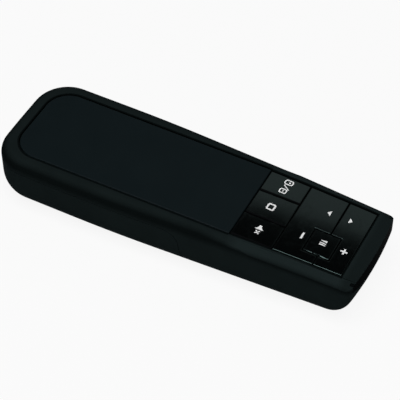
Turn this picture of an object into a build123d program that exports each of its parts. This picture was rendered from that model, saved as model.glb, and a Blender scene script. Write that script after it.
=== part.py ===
from build123d import *
import os

# Hand-held wireless presentation clicker, modelled in millimetres.
# Frame: origin on the rest surface under the middle of the body, +X towards the
# keypad end, +Y across, +Z up through the keys. The thumb pad and the keys face up.

# ---- Housing, overall form -------------------------------------------------------------
TAIL_MARGIN = 9.2             # from the tail to the battery bay
CELL_LENGTH = 43.5
CELL_NUB = 1.0
SPRING_ROOM = 3.85
CONTACT_THICKNESS = 0.4
TRAY_END_WALL = 1.2
BRIDGE_LENGTH = 22.15         # from the battery bay to the keypad
REAR_ROW = 13.9               # lengths of the keypad's three rows
REAR_ROCKER_ROW = 13.2
FRONT_ROCKER_ROW = 9.5
NOSE_MARGIN = 5.4             # from the keypad to the end of the body
BAY_LENGTH = CELL_LENGTH + CELL_NUB + SPRING_ROOM + 2 * (CONTACT_THICKNESS + TRAY_END_WALL)
KEYPAD_LENGTH = REAR_ROW + REAR_ROCKER_ROW + FRONT_ROCKER_ROW
LENGTH = TAIL_MARGIN + BAY_LENGTH + BRIDGE_LENGTH + KEYPAD_LENGTH + NOSE_MARGIN
TAIL = -LENGTH / 2
FRONT = LENGTH / 2
TRAY_TAIL = TAIL + TAIL_MARGIN
TRAY_FRONT = TRAY_TAIL + BAY_LENGTH
DECK_START = TRAY_FRONT + BRIDGE_LENGTH  # the thumb pad ends and the keypad starts here
KEYPAD_END = DECK_START + KEYPAD_LENGTH
TAIL_HALF_WIDTH = 20.55       # half width of the parallel-sided palm half
FRONT_HALF_WIDTH = 16.8       # half width at the keypad end
BEND_X = TAIL + 43.95         # the sides run parallel up to here, then taper in
BEND_RADIUS = 600.0
HEIGHT = 20.6
TAIL_CORNER_RADIUS = 12.0
TAIL_CROWN = 0.4              # how far the tail end bulges
FRONT_CROWN = 1.1             # how far the keypad end bulges
FRONT_CORNER_RADIUS = 2.6
TAIL_UPRIGHT = 4.1            # upright part of the tail's end, above its round heel
TAIL_HEEL_RADIUS = HEIGHT - TAIL_UPRIGHT
TOE_RUN = 20.0                # under the keypad end
TOE_RISE = 14.5
BELLY_RADIUS = 10.3
BELLY_SINK = 0.1              # the round belly and toe are cut flat this far above their lowest line
SHOULDER_RADIUS = 3.6
NOSE_SWEEP = 70.0             # angle of the nose's wedge, wide enough to hold the keypad half
RUN_OUT = 12.0                # added past the keypad end, then trimmed off
FAR = 200.0                   # longer than anything in the model

# ---- Walls and clearances --------------------------------------------------------------
WALL = 2.0
DOOR_WALL = 1.6
COVER_WALL = 1.8
SEAM_GAP = 0.2
PART_GAP = 0.15
MOVING_GAP = 0.3

# ---- Deck round the keypad -------------------------------------------------------------
DECK_DROP = 1.0               # how far the deck falls away towards the keypad end
RIM_FALL = 1.8                # the deck rim slopes down this far to its crease
RIM_MIDDLE_SHARE = 0.62
RIM_EDGE_SHARE = 1.38
RIM_RUN = 3.0                 # over this width
RIM_SINK = 0.3                # how much more it falls at the keypad end
SLAB_FLOOR = HEIGHT - 5.6     # the shoulder and rim are shaped above this level
CREASE_START = DECK_START - 8.05
CREASE_STEPS = [(0, 15.0), (3.0, 17.0), (5.1, 17.45), (9.6, 17.75), (14.1, 18.05), (17.6, 18.6)]

# ---- Thumb pad -------------------------------------------------------------------------
PANEL_TAIL_END = TAIL + 5.7
PANEL_THICKNESS = 1.0
PANEL_FRONT_HALF_WIDTH = 14.7
PANEL_TAIL_HALF_WIDTH = 15.07
PANEL_CORNER_RADIUS = 8.0
PANEL_EDGE_RADIUS = 0.35
PANEL_GROOVE = 0.35

# ---- Keypad ----------------------------------------------------------------------------
KEYPAD_END_HALF_WIDTH = 13.75
ROW_SPLIT = DECK_START + REAR_ROW  # between the three rear keys and the rockers
ROCKER_SPLIT = ROW_SPLIT + REAR_ROCKER_ROW
UPPER_SPLIT = 5.7             # between the screen and blank keys
LOWER_SPLIT = -4.5            # between the blank and mute keys
CENTRE_KEY_X = (ROCKER_SPLIT - 4.9, ROCKER_SPLIT + 3.5)
CENTRE_KEY_Y = (-9.9, -0.75)
KEY_RECESS = 0.15
CAP_SKIN = 1.2
CAP_WALL = 1.1
SKIRT_DEPTH = 2.95            # below the deck surface
CAP_EDGE_RADIUS = 0.3
FLANGE_TOP_DEPTH = WALL + PART_GAP
FLANGE_REACH = 0.9
STEM_RADIUS = 1.5
KEY_TRAVEL = 0.4
SWITCH_GAP = KEY_TRAVEL + 0.05

# ---- Circuit board, switches and key frame ---------------------------------------------
PCB_BOTTOM = HEIGHT - 9.2
PCB_THICKNESS = 1.2
PCB_TOP = PCB_BOTTOM + PCB_THICKNESS
PCB_START = DECK_START - 5.0
PCB_END = KEYPAD_END + 0.4
PCB_HALF_WIDTH = 12.6
REAR_POST_X = PCB_START + 2.55
FRONT_POST_X = ROCKER_SPLIT - 4.55
PCB_POSTS = [(REAR_POST_X, 9.5), (REAR_POST_X, -9.5), (FRONT_POST_X, 10.0), (FRONT_POST_X, -10.0)]
POST_RADIUS = 1.8
REAR_SWITCH_X = DECK_START + 7.0
REAR_SWITCHES = [(REAR_SWITCH_X, 9.9), (REAR_SWITCH_X, 0.6), (REAR_SWITCH_X, -9.5)]
ROCKER_SWITCH_Y = 9.0
ROCKER_REAR_SWITCHES = [(ROW_SPLIT + 3.6, ROCKER_SWITCH_Y), (ROW_SPLIT + 3.6, -ROCKER_SWITCH_Y)]
CENTRE_SWITCH = (CENTRE_KEY_X[0] + 4.1, -5.3)
ROCKER_FRONT_SWITCHES = [(KEYPAD_END - 2.95, ROCKER_SWITCH_Y), (KEYPAD_END - 2.95, -ROCKER_SWITCH_Y)]
SWITCH_SIZE = 4.5
SWITCH_BODY_HEIGHT = 2.4
PLUNGER_HEIGHT = 0.7
PLUNGER_RADIUS = 1.0
SWITCH_TOP = PCB_TOP + SWITCH_BODY_HEIGHT + PLUNGER_HEIGHT
STEM_END = SWITCH_TOP + SWITCH_GAP
FRAME_BOTTOM = HEIGHT - 5.4
FRAME_TOP = FRAME_BOTTOM + 1.0
FRAME_HALF_WIDTH = 13.0
COLLAR_TOP = FRAME_TOP + 1.0
COLLAR_WALL = 1.2
FULCRUM_RADIUS = 0.6
FULCRUM_HEIGHT = 0.4          # the fulcrum's centre above the frame
FULCRUM_CLEARANCE = 0.05
RIB_HALF_WIDTH = 1.3

# ---- Seam of the battery door and bottom cover -----------------------------------------
SEAM_CORNER_X = TRAY_FRONT + 6.3  # the seam turns down here
SEAM_FOOT_X = SEAM_CORNER_X + 2.7  # and meets the underside here
SEAM_RADIUS = 5.0
COVER_HEIGHT = 3.0
TAB_PLACES = [PCB_START + 4.55, PCB_START + 19.55, FRONT - TOE_RUN + 6.55]
TAB_LENGTH = 6.0
TAB_HEIGHT = 5.0
TAB_THICKNESS = 1.3

# ---- Battery bay -----------------------------------------------------------------------
CELL_RADIUS = 5.25
CELL_NUB_RADIUS = 1.9
CELL_Y = 10.2
CELL_Z = 7.6
TRAY_CEILING = (CELL_Z + CELL_RADIUS + 0.75, CELL_Z + CELL_RADIUS + 2.15)
TRAY_HALF_WIDTH = 16.9
RAIL_HALF_WIDTH = 17.5
TRAY_WALL = 1.15
TRAY_WALL_BOTTOM = 7.0
TRAY_TAB_END = TRAY_TAIL - 6.25
TRAY_FOOT_HALF_WIDTH = 12.0
TRAY_FOOT = 4.0
BRACKET_Y = (6.0, 7.5)
BRACKET_END = SEAM_FOOT_X + 4.7
BRACKET_FOOT_START = SEAM_FOOT_X + 1.2
LIP_BOTTOM = TRAY_CEILING[1] + SEAM_GAP  # the door's lips hook over the tray's rails
LIP_TOP = LIP_BOTTOM + 1.2
SEAM_HEIGHT = LIP_TOP + SEAM_GAP
LIP_HALF_WIDTH = 17.05
LIP_START = TRAY_TAIL + 4.75
LIP_END = TRAY_FRONT + 2.2
CONTACT_SIZE = 8.0
SPRING_RADIUS = 2.6
SPRING_WIRE = 0.3
SPRING_TURNS = 4
GRIP_COUNT = 5
GRIP_PITCH = 2.4
GRIP_RADIUS = 1.0
GRIP_DEPTH = 0.25
GRIP_LENGTH = 14.0
GRIP_START = TRAY_FRONT - 6.3

# ---- Stowed receiver -------------------------------------------------------------------
RECEIVER_LENGTH = 19.0
RECEIVER_SETBACK = 9.8        # from the battery bay's front
RECEIVER_END = TRAY_FRONT - RECEIVER_SETBACK
RECEIVER_X = (RECEIVER_END - RECEIVER_LENGTH, RECEIVER_END)
RECEIVER_HALF_THICKNESS = 3.0
RECEIVER_Z = (DOOR_WALL + 1.0, HEIGHT - WALL - 2.0)
RECEIVER_EDGE = 1.2
PLUG_LENGTH = 8.0             # part of the receiver's length
PLUG_HALF_HEIGHT = 6.0
PLUG_HALF_THICKNESS = 2.25
PLUG_WALL = 0.3
TONGUE_HALF_THICKNESS = 0.9
RECEIVER_BAY_WALL = 0.9
RECEIVER_BAY_BOTTOM = 9.0

# ---- Front window, laser ---------------------------------------------------------------
WINDOW_THICKNESS = 1.3
WINDOW_BROW = 1.55            # from the deck's level to the window
WINDOW_DEPTH = 5.65           # at its middle
WINDOW_END_DEPTH = 3.05       # at its two ends
WINDOW_TOP = HEIGHT - WINDOW_BROW
WINDOW_BOTTOM = WINDOW_TOP - WINDOW_DEPTH
WINDOW_END_BOTTOM = WINDOW_TOP - WINDOW_END_DEPTH
WINDOW_HALF_WIDTH = 15.0
WINDOW_LEDGE = 1.0
WINDOW_CORNER_RADIUS = 0.4
WINDOW_GAP = 0.1
LASER_Y = 4.5
LASER_Z = HEIGHT - 5.6
LASER_RADIUS = 1.5
LASER_WALL = 0.3
LASER_START = FRONT - 12.85
LASER_END = FRONT - 4.25
LENS_THICKNESS = 0.6
CRADLE_LENGTH = 5.0

# ---- Power switch ----------------------------------------------------------------------
POWER_X = PCB_START + 10.55
POWER_SWITCH_SIZE = (8.6, 4.4, 4.0)
POWER_TRAVEL = 2.0
KNOB_LENGTH = 7.0
KNOB_WIDTH = 4.6
KNOB_THICKNESS = 0.8
RIB_PITCH = 1.5               # of the knob's ribs
RIB_CUT = 0.25                # half width and depth of the cuts between them
KNOB_DEPTH = 1.1              # of the recess it slides in
NECK_LENGTH = 3.0
NECK_WIDTH = 1.5
NECK_REACH = 0.6              # into the switch's groove
KEEPER_LENGTH = 5.0
KEEPER_WIDTH = 4.0
KEEPER_THICKNESS = 0.8

# ---- Screws ----------------------------------------------------------------------------
FRONT_SCREWS = [(SEAM_FOOT_X + 4.15, 10.5), (SEAM_FOOT_X + 4.15, -10.5)]
TAIL_SCREWS = [(TRAY_TAIL - 3.75, 7.5), (TRAY_TAIL - 3.75, -7.5)]
SCREW_RADIUS = 0.9
SCREW_HEAD_RADIUS = 1.7
SCREW_HEAD_HEIGHT = 1.1
SCREW_FIT = 0.05
PCB_HEAD_SINK = 0.7
FRONT_HEAD_SINK = 2.2
SCREW_REACH = 6.0             # of the shanks into their bosses
CROSS_SIZE = 2.0
CROSS_WIDTH = 0.5
CROSS_DEPTH = 0.5
BOSS_RADIUS = 2.5
BOSS_ROOT = 0.5               # how far bosses and posts reach into the walls they stand on
FRONT_BOSS_END = 8.0

# ---- Parts on the board ----------------------------------------------------------------
CHIP_SIZE = 6.0
CHIP_THICKNESS = 0.9
CHIP_PLACE = (PCB_START + 23.55, 3.0)
SMALL_PARTS = [(17.55, -6.5, 2.0, 1.2, 0.6), (17.55, -3.5, 2.0, 1.2, 0.6), (28.55, 7.0, 1.2, 2.0, 0.6),
               (31.05, 2.0, 3.2, 2.5, 0.9), (22.55, -7.5, 3.0, 3.0, 1.6), (36.05, -3.0, 1.6, 6.0, 1.1),
               (4.05, 5.5, 2.0, 1.2, 0.6), (4.05, -5.5, 2.0, 1.2, 0.6)]


def block(x_range, y_range, z_range):
    """Box given by its limits along each axis."""
    size = [high - low for low, high in (x_range, y_range, z_range)]
    middle = [(high + low) / 2 for low, high in (x_range, y_range, z_range)]
    return Pos(*middle) * Box(*size)


def upright(radius, bottom, top, place=(0, 0)):
    """Vertical cylinder."""
    return Pos(place[0], place[1], (bottom + top) / 2) * Cylinder(radius, top - bottom)


def lying(radius, start, end, y, z):
    """Cylinder along X."""
    return Pos((start + end) / 2, y, z) * Rot(0, 90, 0) * Cylinder(radius, end - start)


def joined(shapes):
    """All the shapes fused into one."""
    shapes = list(shapes)
    total = shapes[0]
    for shape in shapes[1:]:
        total = total + shape
    return total


# ---- Form ------------------------------------------------------------------------------
def drop_at(x):
    """Fall of the deck's surface below the palm half's at x."""
    share = max(0.0, (x - DECK_START) / (FRONT - DECK_START))
    return DECK_DROP * share**2


def taper_half_width(x):
    """Half width of the straight tapering sides at x."""
    slope = (TAIL_HALF_WIDTH - FRONT_HALF_WIDTH) / (FRONT - BEND_X)
    return TAIL_HALF_WIDTH - slope * (x - BEND_X)


def plan_outline(inset):
    """Outline seen from above, run out past the keypad end."""
    tail, end = TAIL + inset, FRONT + RUN_OUT
    corner_x = tail + TAIL_CROWN
    wide, narrow = TAIL_HALF_WIDTH - inset, taper_half_width(end) - inset
    with BuildSketch() as outline:
        with BuildLine():
            ThreePointArc((corner_x, -wide), (tail, 0), (corner_x, wide))
            Polyline((corner_x, wide), (BEND_X, wide), (end, narrow))
            Polyline((end, narrow), (end, -narrow), (BEND_X, -wide), (corner_x, -wide))
        make_face()
        fillet([v for v in outline.vertices() if abs(v.X - BEND_X) < 0.01], BEND_RADIUS)
        fillet(outline.vertices().group_by(Axis.X)[0], TAIL_CORNER_RADIUS - inset)
    return outline.sketch


def side_profile(inset):
    """Outline seen from the side: flat palm half, falling deck, rounded heel."""
    tail, end = TAIL + inset, FRONT + RUN_OUT
    top, heel = HEIGHT - inset, TAIL_HEEL_RADIUS - inset
    low_top = top - drop_at(end)
    with BuildSketch(Plane.XZ) as profile:
        with BuildLine():
            Polyline((tail, inset + heel), (tail, top), (DECK_START, top))
            TangentArc((DECK_START, top), (end, low_top), tangent=(1, 0))
            Polyline((end, low_top), (end, inset), (tail + heel, inset))
            RadiusArc((tail + heel, inset), (tail, inset + heel), heel)
        make_face()
    return profile.sketch


def crown_axis_x():
    """Centre of the arc the keypad end follows, seen from above."""
    return FRONT - (FRONT_HALF_WIDTH**2 + FRONT_CROWN**2) / (2 * FRONT_CROWN)


def nose_form(inset):
    """Round about the crown's centre: everything inside the keypad end's face and toe."""
    front, low, centre = FRONT - inset, inset - BELLY_SINK, crown_axis_x()
    toe_x, rise = front - TOE_RUN, low + TOE_RISE
    with BuildSketch(Plane.XZ) as profile:
        with BuildLine():
            Polyline((toe_x, low), (centre, low), (centre, FAR), (front, FAR), (front, rise))
            EllipticalCenterArc((toe_x, rise), TOE_RUN, TOE_RISE, start_angle=270, arc_size=90)
        make_face()
    upright_axis = Axis((centre, 0, 0), (0, 0, 1))
    return revolve(profile.sketch.rotate(upright_axis, -NOSE_SWEEP / 2), upright_axis, NOSE_SWEEP)


def is_nose_corner(edge, inset):
    """The corners of the keypad end and the mitres where its toe meets the belly."""
    box = edge.bounding_box()
    outboard = min(abs(box.min.Y), abs(box.max.Y)) > FRONT_HALF_WIDTH / 3
    ahead = box.max.X > FRONT - inset - TOE_RUN + 1 and box.size.X < TOE_RUN + 1
    return outboard and ahead and box.size.Z > 1.2 and box.min.Z < HEIGHT / 2 + 4


def prism_form(inset):
    """Plan outline and side profile crossed, all edges sharp."""
    return extrude(plan_outline(inset), amount=HEIGHT) & extrude(side_profile(inset), amount=FAR, both=True)


def bellied_prism(inset):
    """The plan outline drawn up, rounded along the bottom except past the keypad end."""
    form = Pos(0, 0, inset - BELLY_SINK) * extrude(plan_outline(inset), amount=HEIGHT + 1)
    low = [e for e in form.edges().group_by(Axis.Z)[0] if e.center().X < FRONT + RUN_OUT - 1]
    return fillet(low, BELLY_RADIUS - inset)


def blank_form(inset):
    """The whole body with rounded belly, heel and nose, and a sharp top edge."""
    form = bellied_prism(inset)
    palm_half = form & block((-FAR, DECK_START), (-FAR, FAR), (-FAR, FAR))
    nose = form & block((DECK_START, FAR), (-FAR, FAR), (-FAR, FAR)) & nose_form(inset)
    nose = fillet([e for e in nose.edges() if is_nose_corner(e, inset)], FRONT_CORNER_RADIUS)
    return (palm_half + nose) & extrude(side_profile(inset), amount=FAR, both=True)


def shouldered_slab():
    """Upper part of the body, rounded along its shoulder all the way."""
    slab = prism_form(0) & block((-FAR, FAR), (-FAR, FAR), (SLAB_FLOOR, HEIGHT))
    rim = [e for e in slab.edges() if e.bounding_box().min.Z > SLAB_FLOOR + 2]
    rim = [e for e in rim if e.bounding_box().min.X < FRONT and (abs(e.center().Y) > 1 or e.center().X < 0)]
    return fillet(rim, SHOULDER_RADIUS) & block((-FAR, FRONT), (-FAR, FAR), (SLAB_FLOOR, HEIGHT))


def rim_outline():
    """Plan of the keypad's deck: flares out of the thumb pad's edge, then covers everything."""
    crease = [(CREASE_START + step, half) for step, half in CREASE_STEPS]
    mirrored = [(x, -y) for x, y in crease]
    outboard = crease[-1][0] + RIM_RUN
    with BuildSketch() as outline:
        with BuildLine():
            Spline(*crease)
            Polyline(crease[-1], (outboard, FAR), (FAR, FAR), (FAR, -FAR), (outboard, -FAR), mirrored[-1])
            Spline(*mirrored)
            Line(mirrored[0], crease[0])
        make_face()
    return outline.sketch


def rim_cutter(side):
    """What is shaved off one side of the deck: along the taper, sinking with the deck."""
    run_length = FRONT - DECK_START
    start = Vector(DECK_START, side * taper_half_width(DECK_START), HEIGHT)
    end = Vector(FRONT, side * taper_half_width(FRONT), HEIGHT - DECK_DROP - RIM_SINK)
    section = Plane(origin=start, x_dir=(0, side, 0), z_dir=(end - start) * side)
    inner, outer = -RIM_RUN / 3, RIM_RUN / 3
    middle, low = -RIM_FALL * RIM_MIDDLE_SHARE, -RIM_FALL * RIM_EDGE_SHARE
    with BuildSketch() as shape:
        with BuildLine():
            ThreePointArc((-RIM_RUN, 0), (inner, middle), (outer, low))
            Polyline((outer, low), (RIM_RUN, low), (RIM_RUN, RIM_RUN), (-RIM_RUN, RIM_RUN), (-RIM_RUN, 0))
        make_face()
    return extrude(section * shape.sketch, amount=2 * run_length, both=True)


def decked_slab(blank):
    """Upper part of the keypad half with its sloping rim."""
    slab = blank & block((CREASE_START - RIM_RUN, FAR), (-FAR, FAR), (SLAB_FLOOR, HEIGHT))
    return slab - rim_cutter(1) - rim_cutter(-1)


def outer_form():
    """The body's whole outer surface."""
    blank = blank_form(0)
    lower = blank & block((-FAR, FAR), (-FAR, FAR), (-1, SLAB_FLOOR))
    deck_plan = extrude(rim_outline(), amount=HEIGHT)
    return lower + (shouldered_slab() - deck_plan) + (decked_slab(blank) & deck_plan)


def deck_layer(depth, bottom_depth):
    """Everything between two depths below the deck, following its fall."""
    upper, lower = HEIGHT - depth, HEIGHT - bottom_depth
    end = FRONT + RUN_OUT
    with BuildSketch(Plane.XZ) as profile:
        with BuildLine():
            Line((0, upper), (DECK_START, upper))
            TangentArc((DECK_START, upper), (end, upper - drop_at(end)), tangent=(1, 0))
            Line((end, upper - drop_at(end)), (end, lower - drop_at(end)))
            TangentArc((DECK_START, lower), (end, lower - drop_at(end)), tangent=(1, 0))
            Polyline((DECK_START, lower), (0, lower), (0, upper))
        make_face()
    return extrude(profile.sketch, amount=FAR, both=True)


# ---- Plans of the thumb pad and the keys -----------------------------------------------
def panel_outline(grow=0.0):
    """Plan of the thumb pad: rounded at the tail, square at the keypad."""
    back, front = PANEL_TAIL_END - grow, DECK_START - PART_GAP + grow
    back_half, front_half = PANEL_TAIL_HALF_WIDTH + grow, PANEL_FRONT_HALF_WIDTH + grow
    with BuildSketch() as outline:
        Polygon((back, back_half), (front, front_half), (front, -front_half), (back, -back_half), align=None)
        fillet(outline.vertices().group_by(Axis.X)[0], PANEL_CORNER_RADIUS + grow)
    return outline.sketch


def keypad_half_width(x):
    """Half width of the keypad opening at x."""
    share = (x - DECK_START) / (KEYPAD_END - DECK_START)
    return PANEL_FRONT_HALF_WIDTH + share * (KEYPAD_END_HALF_WIDTH - PANEL_FRONT_HALF_WIDTH)


def strip_outline(start, end, low=-FAR, high=FAR, gap=MOVING_GAP):
    """Plan of a key: a length of the keypad opening between two Y limits."""
    near, far = keypad_half_width(start) - gap, keypad_half_width(end) - gap
    strip = make_face(Polyline((start, near), (end, far), (end, -far), (start, -near), close=True))
    band = make_face(Polyline((start, low), (end, low), (end, high), (start, high), close=True))
    return strip & band


def keypad_outline():
    return strip_outline(DECK_START - PART_GAP, KEYPAD_END, gap=0)


def rear_key_outline(low, high):
    """Plan of one of the three keys behind the thumb pad."""
    half_gap = MOVING_GAP / 2
    return strip_outline(DECK_START + half_gap, ROW_SPLIT - half_gap, low + half_gap, high - half_gap)


def centre_key_outline(grow=0.0):
    (x0, x1), (y0, y1) = CENTRE_KEY_X, CENTRE_KEY_Y
    near, far = (x0 - grow, y0 - grow), (x1 + grow, y1 + grow)
    return make_face(Polyline(near, (far[0], near[1]), far, (near[0], far[1]), close=True))


def rocker_outline(start, end):
    """Plan of a rocker, notched round the centre key."""
    half_gap = MOVING_GAP / 2
    return strip_outline(start + half_gap, end - half_gap) - centre_key_outline(MOVING_GAP)


# ---- Keys ------------------------------------------------------------------------------
def keycap(outline):
    """Hollow cap with softened top edges, its top following the deck."""
    solid = extrude(outline, amount=HEIGHT) & deck_layer(KEY_RECESS, SKIRT_DEPTH)
    top = solid.faces().sort_by(Axis.Z)[-1]
    solid = fillet(top.edges(), CAP_EDGE_RADIUS)
    inside = offset(outline, amount=-CAP_WALL, kind=Kind.INTERSECTION)
    return solid - (extrude(inside, amount=HEIGHT) & deck_layer(KEY_RECESS + CAP_SKIN, HEIGHT / 2))


def stem(place):
    """Post under a cap that presses on a switch."""
    return upright(STEM_RADIUS, STEM_END, HEIGHT, place) & deck_layer(KEY_RECESS + CAP_SKIN / 2, HEIGHT / 2)


def rear_key(low, high, place):
    """Key with a flange that holds it under the thumb pad's edge and the deck."""
    cap = keycap(rear_key_outline(low, high))
    half_gap = MOVING_GAP / 2
    reach = keypad_half_width(DECK_START) + FLANGE_REACH
    low_reach = -reach if low < -keypad_half_width(ROW_SPLIT) else low + half_gap
    high_reach = reach if high > keypad_half_width(ROW_SPLIT) else high - half_gap
    flange = block((DECK_START - FLANGE_REACH, DECK_START + half_gap + CAP_WALL / 2),
                   (low_reach, high_reach), (0, HEIGHT))
    for side, limit in ((1, high_reach), (-1, low_reach)):
        if abs(limit) == reach:
            inner = keypad_half_width(ROW_SPLIT) - MOVING_GAP - CAP_WALL / 2
            across = sorted((side * inner, side * reach))
            flange = flange + block((DECK_START - FLANGE_REACH, ROW_SPLIT - half_gap), across, (0, HEIGHT))
    return cap + (flange & deck_layer(FLANGE_TOP_DEPTH, SKIRT_DEPTH)) + stem(place)


def rocker(start, end, places):
    """Key that rocks about a ridge under its middle, one stem to each side."""
    cap = keycap(rocker_outline(start, end))
    middle = fulcrum_span(start, end)
    rib = block(middle, (-RIB_HALF_WIDTH, RIB_HALF_WIDTH), (fulcrum_z(), HEIGHT))
    rib = rib & deck_layer(KEY_RECESS + CAP_SKIN / 2, HEIGHT / 2)
    groove = lying(FULCRUM_RADIUS + FULCRUM_CLEARANCE, start, end, 0, fulcrum_z())
    return joined([cap, rib] + [stem(place) for place in places]) - groove


def fulcrum_z():
    return FRAME_TOP + FULCRUM_HEIGHT


def fulcrum_span(start, end):
    """The length of a rocker that is clear of the centre key."""
    x0, x1 = CENTRE_KEY_X
    if start < x0:
        return start + CAP_WALL, min(end, x0) - CAP_WALL
    return max(start, x1) + CAP_WALL, end - CAP_WALL


def centre_key():
    return keycap(centre_key_outline()) + stem(CENTRE_SWITCH)


# ---- Key frame, switches and board -----------------------------------------------------
def all_switches():
    return REAR_SWITCHES + ROCKER_REAR_SWITCHES + [CENTRE_SWITCH] + ROCKER_FRONT_SWITCHES


def key_frame():
    """Plate over the switches that guides the stems and carries the rockers' fulcrums."""
    x_range = (PCB_START, PCB_END)
    plate = block(x_range, (-FRAME_HALF_WIDTH, FRAME_HALF_WIDTH), (FRAME_BOTTOM, FRAME_TOP))
    guided = REAR_SWITCHES + [CENTRE_SWITCH]
    collars = [upright(STEM_RADIUS + MOVING_GAP + COLLAR_WALL, FRAME_BOTTOM, COLLAR_TOP, p) for p in guided]
    posts = [upright(SCREW_HEAD_RADIUS + 1, PCB_TOP, FRAME_TOP, p) for p in PCB_POSTS]
    ridges = []
    for start, end in ((ROW_SPLIT, ROCKER_SPLIT), (ROCKER_SPLIT, KEYPAD_END)):
        low, high = fulcrum_span(start, end)
        ridges.append(lying(FULCRUM_RADIUS, low, high, 0, fulcrum_z()))
        ridges.append(block((low, high), (-FULCRUM_RADIUS, FULCRUM_RADIUS), (FRAME_TOP, fulcrum_z())))
    frame = joined([plate] + collars + posts + ridges)
    for place in all_switches():
        frame = frame - upright(STEM_RADIUS + MOVING_GAP, PCB_TOP, HEIGHT, place)
    for place in PCB_POSTS:
        frame = frame - upright(SCREW_RADIUS + SCREW_FIT, PCB_BOTTOM, HEIGHT, place)
        frame = frame - upright(SCREW_HEAD_RADIUS + PART_GAP, FRAME_TOP - PCB_HEAD_SINK, HEIGHT, place)
    half = LASER_RADIUS + SCREW_FIT
    return frame - block((LASER_START - PART_GAP, FAR), (LASER_Y - half, LASER_Y + half), (0, HEIGHT))


def main_pcb():
    """Circuit board with its four screw holes."""
    board = block((PCB_START, PCB_END), (-PCB_HALF_WIDTH, PCB_HALF_WIDTH), (PCB_BOTTOM, PCB_TOP))
    board = fillet(board.edges().filter_by(Axis.Z), BOSS_ROOT)
    for place in PCB_POSTS:
        board = board - upright(SCREW_RADIUS + SCREW_FIT, 0, HEIGHT, place)
    return board


def tact_switch(x, y):
    """Push switch standing on the board."""
    half, body_top = SWITCH_SIZE / 2, PCB_TOP + SWITCH_BODY_HEIGHT
    body = block((x - half, x + half), (y - half, y + half), (PCB_TOP, body_top))
    body = chamfer(body.edges().group_by(Axis.Z)[-1], PART_GAP)
    return body + upright(PLUNGER_RADIUS, body_top, SWITCH_TOP, (x, y))


def controller_chip():
    x, y = CHIP_PLACE
    half = CHIP_SIZE / 2
    return block((x - half, x + half), (y - half, y + half), (PCB_BOTTOM - CHIP_THICKNESS, PCB_BOTTOM))


def pcb_components():
    """Small parts under the board and the laser's cradle on top of it."""
    parts = [Pos(PCB_START + x, y, PCB_BOTTOM - height / 2) * Box(length, width, height)
             for x, y, length, width, height in SMALL_PARTS]
    half = LASER_RADIUS
    x_range = (LASER_START, LASER_START + CRADLE_LENGTH)
    cradle = block(x_range, (LASER_Y - half, LASER_Y + half), (PCB_TOP, LASER_Z - LASER_RADIUS / 2))
    parts.append(cradle - lying(LASER_RADIUS + SCREW_FIT, LASER_START, LASER_END, LASER_Y, LASER_Z))
    return parts


def laser_barrel():
    """Tube open towards the window."""
    tube = lying(LASER_RADIUS, LASER_START, LASER_END, LASER_Y, LASER_Z)
    bore_start = LASER_START + 2 * LASER_RADIUS
    return tube - lying(LASER_RADIUS - LASER_WALL, bore_start, LASER_END, LASER_Y, LASER_Z)


def laser_lens():
    end = LASER_END - LENS_THICKNESS / 2
    return lying(LASER_RADIUS - LASER_WALL - SCREW_FIT, end - LENS_THICKNESS, end, LASER_Y, LASER_Z)


# ---- Power switch ----------------------------------------------------------------------
def power_span(length):
    """X range swept by something this long as the knob slides, with clearance."""
    half = (length + POWER_TRAVEL) / 2 + MOVING_GAP
    return POWER_X - half, POWER_X + half


def power_switch():
    """Slide switch under the board, grooved for the knob's neck."""
    length, width, height = POWER_SWITCH_SIZE
    bottom = PCB_BOTTOM - height
    body = block((POWER_X - length / 2, POWER_X + length / 2), (-width / 2, width / 2), (bottom, PCB_BOTTOM))
    half = NECK_WIDTH / 2 + MOVING_GAP
    return body - block(power_span(NECK_LENGTH), (-half, half), (0, bottom + NECK_REACH + MOVING_GAP))


def power_slider():
    """Knob in its recess, its neck through the cover and the keeper inside, in the off place."""
    middle = POWER_X - POWER_TRAVEL / 2
    top = PCB_BOTTOM - POWER_SWITCH_SIZE[2] + NECK_REACH
    rest = KNOB_DEPTH - MOVING_GAP
    knob = block((middle - KNOB_LENGTH / 2, middle + KNOB_LENGTH / 2), (-KNOB_WIDTH / 2, KNOB_WIDTH / 2),
                 (rest - KNOB_THICKNESS, rest))
    for step in (-RIB_PITCH, 0, RIB_PITCH):
        cut = (middle + step - RIB_CUT, middle + step + RIB_CUT)
        knob = knob - block(cut, (-FAR, FAR), (0, rest - KNOB_THICKNESS + RIB_CUT))
    neck = block((middle - NECK_LENGTH / 2, middle + NECK_LENGTH / 2), (-NECK_WIDTH / 2, NECK_WIDTH / 2),
                 (rest - KNOB_THICKNESS / 2, top))
    floor = COVER_WALL + MOVING_GAP
    keeper = block((middle - KEEPER_LENGTH / 2, middle + KEEPER_LENGTH / 2),
                   (-KEEPER_WIDTH / 2, KEEPER_WIDTH / 2), (floor, floor + KEEPER_THICKNESS))
    return knob + neck + keeper


def power_openings():
    """Recess and slot in the bottom cover."""
    half = KNOB_WIDTH / 2 + MOVING_GAP
    recess = block(power_span(KNOB_LENGTH), (-half, half), (-1, KNOB_DEPTH))
    half = NECK_WIDTH / 2 + MOVING_GAP
    return recess + block(power_span(NECK_LENGTH), (-half, half), (-1, COVER_WALL + 1))


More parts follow.
